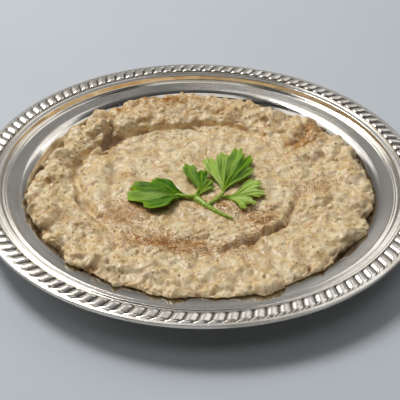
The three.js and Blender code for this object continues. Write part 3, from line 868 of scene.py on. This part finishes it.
def loose_finish(name, darker, lighter, roughness):
    """Two tones that vary from body to body, and a little over each of them."""
    finish = Finish(name, {"Coat Weight": 0.1})
    tone = finish.mark("each") * 0.8 + finish.noise(finish.place(), 0.6) * 0.3
    colour = finish.painted(darker, (finish.between(tone, 0.1, 1.0), lighter))
    finish.surface(colour, roughness + 0.1 * tone)
    return finish.result


# A chip is a flat five-sided ring with a point above and one below.
chip = np.array([
    (1, 0.1, 0), (0.3, 0.9, 0.1), (-0.8, 0.5, -0.1), (-0.7, -0.6, 0.1), (0.4, -0.8, -0.1),
    (0, 0.1, 1), (0, -0.1, -1),
])
chip_faces = capped_rings(1, 5)[1:]

scattered(
    "char_flecks", chip, chip_faces, 90, food_radius * (0.5 + toasted),
    [(0.3, 0.9), (0.2, 0.5), (0.12, 0.22)], 0.2,
    loose_finish("charred_skin", (84, 58, 40), (184, 146, 106), 0.5),
)
scattered(
    "spice_grains", chip, chip_faces, 6400, food_radius * (spice_mark ** 1.2 + 0.006),
    [(0.22, 0.55), (0.2, 0.42), (0.15, 0.3)], 0.0,
    loose_finish("ground_spice", (170, 104, 34), (222, 162, 80), 0.6),
)

# A seed is a flat lens of three rings of eight points, and a pole on each side.
seed_profile = np.array([(0, 1), (0.75, 0.66), (1, 0), (0.75, -0.66), (0, -1)])
scattered(
    "aubergine_seeds", *lathe(seed_profile, 8), 520, food_radius,
    [(0.7, 1.15), (0.55, 0.85), (0.3, 0.45)], 0.15,
    loose_finish("seed_skin", (204, 166, 106), (238, 218, 170), 0.42),
)

# A strand is a bowed square rod that is thinner towards its two flat ends.
strand_steps = np.linspace(-1, 1, 7)
strand_ring = np.arange(4) / 4 * 2 * math.pi
strand_width = np.sqrt(1 - 0.9 * strand_steps ** 2)
strand_shape = np.stack([
    np.repeat(strand_steps, 4),
    np.repeat(0.35 * strand_steps ** 2, 4) + 0.12 * np.outer(strand_width, np.cos(strand_ring)).ravel(),
    np.outer(strand_width, np.sin(strand_ring)).ravel(),
], -1)
strand_faces = [grid_faces(7, 4, closed_columns=True), np.array([(0, 1, 2, 3), (27, 26, 25, 24)])]
scattered(
    "aubergine_strands", strand_shape, strand_faces, 200, food_radius,
    [(1.4, 2.8), (1.2, 2.4), (0.18, 0.28)], 0.3,
    loose_finish("soft_strand", (206, 172, 120), (240, 222, 184), 0.4),
)


# ---- the parsley ----
# One sprig of flat-leaved parsley with its cut stem towards the front right. Four leaflets, lobed and
# toothed, fan out from the fork; they are thin, slightly cupped, and creased along their veins.

LEAF_THICKNESS = 0.35
LEAF_BED = 0.9
LOBE_BLUNT = 0.42
LOBE_FOLD = 1.5
LOBE_OVERLAP = 0.5
FAN_AT_BASE = 0.3
FAN_LENGTH = 20.0
BLADE_COLUMNS = 120
BLADE_ROWS = 60
VEIN_WIDTH = 0.45


def bed_height(x, y):
    """Height of the dip under a point, with a little room above it."""
    return food_height(np.hypot(x, y), np.arctan2(y, x)) + LEAF_BED


def blade_reach(lobes, azimuth, tooth):
    """How far the blade reaches from its base at an azimuth: the longest blunt lobe there, with small
    round teeth along it."""
    reach = np.zeros_like(azimuth)
    for centre, length, half, _ in lobes:
        off = np.clip((azimuth - centre) / half, -1, 1)
        reach = np.maximum(reach, length * (1 - off ** 2) ** LOBE_BLUNT)
    step, depth, phase = tooth
    teeth = 1 - depth * (1 - np.abs(np.sin(math.pi * (azimuth - phase) / step)))
    return reach * teeth


def leaflet(base_x, base_y, lobes, tooth, lift, cup):
    """A leaflet's upper and lower points and the marks for its finish. Rays leave the base close together
    and fan out to their azimuths. The blade rises outwards, cups across, and is creased at each vein,
    which runs from the base to a lobe's tip; side veins leave it in pairs. A lobe is its tip's azimuth,
    its length, half its spread and how pale it is, and every second lobe lies a little higher. The
    paleness is partly the leaflet's own hue and partly painted light and shade: darker lobes stand for
    lobes in shade, paler ones for lobes that catch the light and its sheen."""
    first, last = lobes[0], lobes[-1]
    azimuth_row = np.linspace(first[0] - 0.97 * first[2], last[0] + 0.97 * last[2], BLADE_COLUMNS)
    share_row = np.linspace(0.03, 1, BLADE_ROWS) ** 0.9
    share, azimuth = np.meshgrid(share_row, azimuth_row, indexing="ij")
    out = blade_reach(lobes, azimuth, tooth) * share
    middle = (first[0] + last[0]) / 2
    span = (azimuth_row[-1] - azimuth_row[0]) / 2
    fan = FAN_AT_BASE + (1 - FAN_AT_BASE) * smooth_rise(out, 0, FAN_LENGTH)
    angle = np.radians(middle + (azimuth - middle) * fan)
    x = base_x + out * np.cos(angle)
    y = base_y + out * np.sin(angle)
    vein = np.zeros_like(out)
    for centre, length, half, _ in lobes:
        aside = np.radians(azimuth - centre) * fan * out
        vein = np.maximum(vein, np.exp(-(aside / VEIN_WIDTH) ** 2) * smooth_rise(length - out, 0, 6))
        branch = np.abs(np.mod(out - 1.3 * np.abs(aside), 5.0) - 2.5) - 2.5
        near = np.exp(-(aside / 4.5) ** 2) * smooth_rise(out, 5, 9)
        vein = np.maximum(vein, 0.55 * np.exp(-(branch / 0.32) ** 2) * near)
    across = (azimuth - middle) / span
    outline = smooth_rise(share, 0.86, 1.0)
    from_veins = np.array([np.abs(azimuth - centre) / half for centre, _, half, _ in lobes])
    own_lobe = np.argmin(from_veins, axis=0)
    grown = smooth_rise(out, 5, 18)
    fold = LOBE_FOLD * np.minimum(from_veins.min(axis=0), 1) * grown
    ripple = 0.35 * np.sin(azimuth * 0.35 + out * 0.25) * smooth_rise(out, 4, 16)
    z = bed_height(x, y) + lift * smooth_rise(out, 3, 26) + cup * across ** 2 * smooth_rise(out, 2, 16)
    z += fold + ripple + LOBE_OVERLAP * (own_lobe % 2) * grown - 0.45 * vein - 0.6 * outline * share
    upper = np.stack([x, y, z + LEAF_THICKNESS], -1)
    lower = np.stack([x, y, z], -1)
    tone = np.array([lobe[3] for lobe in lobes])[own_lobe]
    streak_place = np.stack([azimuth / 3.5, out / 11, 0 * out + base_x], -1)
    streak = 0.5 + 0.5 * soft_noise(streak_place, 1.0, 91) + 0.25 * soft_noise(streak_place, 0.4, 92)
    return upper, lower, vein, outline, tone, np.clip(streak, 0, 1)


def slab_faces(rows, columns):
    """Faces of a thin closed body made of two grids with the same rows and columns, the upper one first:
    the two grids, and a strip along their sides."""
    count = rows * columns
    upper = grid_faces(rows, columns)
    sides = round_the_sides(np.arange(count).reshape(rows, columns))
    return [upper, upper[:, ::-1] + count, strip(sides, sides + count)]


# The last number of each lobe is its paleness: partly the leaflet's own hue, and partly painted light and
# shade, low for lobes that lie in shade and high for lobes that catch the light and its sheen.
left_lobes = [(150, 27, 16, 0.0), (167, 36, 18, 0.05), (183, 37, 22, 0.4), (203, 29.5, 24, 0.1)]
middle_lobes = [(34, 12.5, 22, 0.5), (60, 16.5, 22, 0.3), (84, 24.5, 17, 0.0), (102, 30, 15, 0.25)]
upper_lobes = [
    (52, 30, 12, 0.4), (64, 40, 11, 0.05), (76, 46.5, 11, 0.35), (89, 40, 10, 0.5), (103, 35, 14, 0.9),
]
right_lobes = [(-42, 17.5, 20, 1.0), (-20, 20.5, 16, 1.3), (8, 25, 17, 1.3), (28, 26, 19, 1.1)]
leaflets = [
    leaflet(-4, -18.5, left_lobes, (9, 0.03, 3), 0.6, 1.8),
    leaflet(-1.5, -18, middle_lobes, (9, 0.07, 0), 1.2, 1.0),
    leaflet(12, -16, upper_lobes, (5, 0.09, 2), 1.8, 0.6),
    leaflet(12.2, -18, right_lobes, (7, 0.1, 1), 0.9, 0.8),
]


def joined(parts):
    """Point arrays and face sets of several bodies as one: each body's faces count on from the last."""
    points = []
    faces = []
    count = 0
    for part_points, part_faces in parts:
        points.append(part_points)
        faces += [each + count for each in part_faces]
        count += len(part_points)
    return np.concatenate(points), faces


def fresh_leaf():
    """Leaf: deep green to pale sage by leaflet and lobe, partly its own hue and partly painted light and
    shade, lime along veins and edges, and a waxy gloss.
    """
    finish = Finish("fresh_leaf", {
        "Subsurface Weight": 0.08,
        "Subsurface Radius": (0.4, 1.0, 0.2),
        "Subsurface Scale": 0.002,
        "Specular IOR Level": 0.1,
    })
    streak = finish.between(finish.mark("streak"), 0.25, 0.8)
    fine = finish.noise(finish.place(), 0.8)
    mottle = streak * 0.7 + finish.between(fine, 0.35, 0.7) * 0.3
    deep = finish.painted((50, 102, 0), (mottle, (88, 144, 0)))
    pale = finish.painted((164, 200, 84), (mottle, (214, 236, 140)))
    colour = finish.mix(finish.mark("tone"), deep, pale)
    colour = finish.mix(finish.mark("vein") * 0.45, colour, pigment(184, 214, 30))
    colour = finish.mix(finish.mark("rim") * 0.4, colour, pigment(176, 208, 0))
    finish.surface(colour, 0.3 + 0.18 * fine)
    finish.bump(fine * 0.5 + streak * 0.5, 0.25)
    return finish.result


blade_faces = slab_faces(BLADE_ROWS, BLADE_COLUMNS)
blades = [(np.concatenate(leaf[:2]).reshape(-1, 3), blade_faces) for leaf in leaflets]
leaves = new_piece("parsley_leaves", *joined(blades), fresh_leaf())
for k, name in enumerate(("vein", "rim", "tone", "streak"), 2):
    mark(leaves, name, np.concatenate([np.tile(leaf[k].ravel(), 2) for leaf in leaflets]))
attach(leaves, "root")
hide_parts("parsley_sprig")


def stem(start, end, lift, radii, bend=1.0, rows=24, sides=10):
    """Points and faces of a stem: a circle that narrows from one radius to the other, carried along a
    path over the dip that bows to one side, with both ends closed by a round cap."""
    share = np.linspace(0, 1, rows)
    start, end = np.array(start), np.array(end)
    aside = np.array([start[1] - end[1], end[0] - start[0]]) / np.linalg.norm(end - start)
    flat = start + (end - start) * share[:, None] + aside * (bend * np.sin(math.pi * share))[:, None]
    height = (bed_height(*start) + lift[0]) * (1 - share) + (bed_height(*end) + lift[1]) * share
    path = np.column_stack([flat, height])
    ahead = unit(np.gradient(path, axis=0))
    side_way = unit(np.cross(ahead, [0, 0, 1]))
    up = np.cross(side_way, ahead)
    turn = np.arange(sides) / sides * 2 * math.pi
    cap = np.sqrt(np.clip(1 - (np.abs(share - 0.5) * 2) ** 16, 0.04, 1))
    radius = (radii[0] + (radii[1] - radii[0]) * share) * cap
    ring = side_way[:, None] * np.cos(turn)[:, None] + up[:, None] * np.sin(turn)[:, None]
    points = (path[:, None] + ring * radius[:, None, None]).reshape(-1, 3)
    return np.concatenate([points, path[:1], path[-1:]]), capped_rings(rows, sides)


def fresh_stem():
    """Stem: lime green with paler streaks along it."""
    constants = {"Coat Weight": 0.25, "Subsurface Weight": 0.1, "Subsurface Scale": 0.002}
    finish = Finish("fresh_stem", constants)
    streak = finish.blotches(finish.place((1, 1, 2)), 1.2, 0.35, 0.7)
    finish.surface(finish.painted((128, 176, 20), (streak, (190, 214, 70))), 0.34 + 0.1 * streak)
    finish.bump(streak, 0.08)
    return finish.result


stem_parts = [
    stem((18.8, -38.2), (-3, -19.5), (0.0, 0.4), (0.6, 2.3), 1.6),
    stem((4.4, -26), (13.4, -14.5), (0.2, 0.8), (1.1, 0.9), -0.8),
    stem((-3, -19.5), (-14, -18.2), (0.5, 0.9), (1.7, 0.7), 0.3),
    stem((8.2, -20), (17, -17.6), (0.5, 0.8), (0.7, 0.45), 0.2),
    stem((-3, -19.5), (-0.9, -12.5), (0.5, 0.8), (0.9, 0.5), 0.2),
]
stems = new_piece("parsley_stems", *joined(stem_parts), fresh_stem())
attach(stems, "root")
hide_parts("parsley_sprig")


# ---- the stage ----
# A pale blue-grey table, large soft light panels behind, above and at the sides, and a camera that
# looks down at about 35 degrees.

TABLE_HALF = 6000.0
table_corners = TABLE_HALF * np.array([(-1, -1, 0), (1, -1, 0), (1, 1, 0), (-1, 1, 0)])
table_finish = Finish("pale_table", {"Specular IOR Level": 0.3})
table_cloud = table_finish.noise(table_finish.place(), 60.0)
table_colour = table_finish.painted((210, 216, 222), (table_cloud, (214, 220, 225)))
table_finish.surface(table_colour, 0.6 + 0.1 * table_cloud)
table = new_piece("table", table_corners, [np.array([(0, 1, 2, 3)])], table_finish.result)

PANEL_DISTANCE = 1.7


def light_panel(name, azimuth, elevation, wide, high, brightness, lights_up=True, mirrored=True):
    """A flat panel of light that faces the dish. It is as wide and high as the angles it takes up as seen
    from the dish, and as bright as a mirror there would show. One that lights nothing up is only seen in
    the silver, and one that isn't mirrored only lights up the dull things."""
    az, el = math.radians(azimuth), math.radians(elevation)
    towards = Vector((math.cos(el) * math.cos(az), math.cos(el) * math.sin(az), math.sin(el)))
    light = bpy.data.lights.new(name, "AREA")
    light.shape = "RECTANGLE"
    light.size = 2 * PANEL_DISTANCE * math.tan(math.radians(wide / 2))
    light.size_y = 2 * PANEL_DISTANCE * math.tan(math.radians(high / 2))
    light.energy = brightness * math.pi * light.size * light.size_y
    lamp = bpy.data.objects.new(name, light)
    lamp.visible_diffuse = lights_up
    lamp.visible_glossy = mirrored
    lamp.location = towards * PANEL_DISTANCE
    lamp.rotation_euler = towards.to_track_quat("Z", "Y").to_euler()
    bpy.context.scene.collection.objects.link(lamp)


light_panel("panel_key", 134, 56, 18, 18, 16.0)
light_panel("panel_back_left", 117, 49, 28, 24, 1.15)
light_panel("panel_back_right", 59, 45, 30, 20, 0.9)
light_panel("panel_low_glow", 84, 24, 12, 14, 0.22)
light_panel("panel_left", 182, 40, 40, 22, 0.9, mirrored=False)
light_panel("card_left", 170, 37, 66, 36, 1.0, lights_up=False)
light_panel("card_right", -8, 37, 86, 36, 0.9, lights_up=False)
light_panel("panel_top", 275, 74, 36, 24, 0.9)

# The room is grey behind the dish, darker high up, and nearly black on the camera's side.
room = Finish("studio", {"Color": (0.98, 0.99, 1.0, 1.0)}, "worlds", "Background")
looking = room.node("ShaderNodeTexCoord", {}, {}, "Generated")
behind = room.between(room.axis(looking, 1), -0.1, 0.5, 0.02, 0.27, "LINEAR")
overhead = room.between(room.axis(looking, 2), 0.74, 0.8, 1.0, 0.45, "LINEAR")
room.feed(room.shader, "Strength", behind * overhead)
bpy.context.scene.world = room.result
bpy.context.scene.view_settings.view_transform = "Standard"

CAMERA_DISTANCE = 4.5 * RIM_RADIUS
CAMERA_ELEVATION = 34.58
CAMERA_PITCH = -1.625
CAMERA_ROLL = -0.981
CAMERA_LENS = 90.363


def camera_matrix():
    """The camera stands towards -Y of the rim's centre, looks at it, tips up or down by the pitch, and
    then rolls about its own axis."""
    elevation = math.radians(CAMERA_ELEVATION)
    to_centre = Vector((0, math.cos(elevation), -math.sin(elevation)))
    right = Vector((1, 0, 0))
    forward = Matrix.Rotation(math.radians(CAMERA_PITCH), 3, right) @ to_centre
    right = Matrix.Rotation(math.radians(CAMERA_ROLL), 3, forward) @ right
    matrix = Matrix((right, right.cross(forward), -forward)).transposed().to_4x4()
    matrix.translation = Vector((0, 0, TRAY_HEIGHT * MM)) - to_centre * CAMERA_DISTANCE * MM
    return matrix


camera_data = bpy.data.cameras.new("camera")
camera_data.lens = CAMERA_LENS
camera_data.sensor_width = 36
camera = bpy.data.objects.new("camera", camera_data)
camera.matrix_world = camera_matrix()
bpy.context.scene.collection.objects.link(camera)
bpy.context.scene.camera = camera
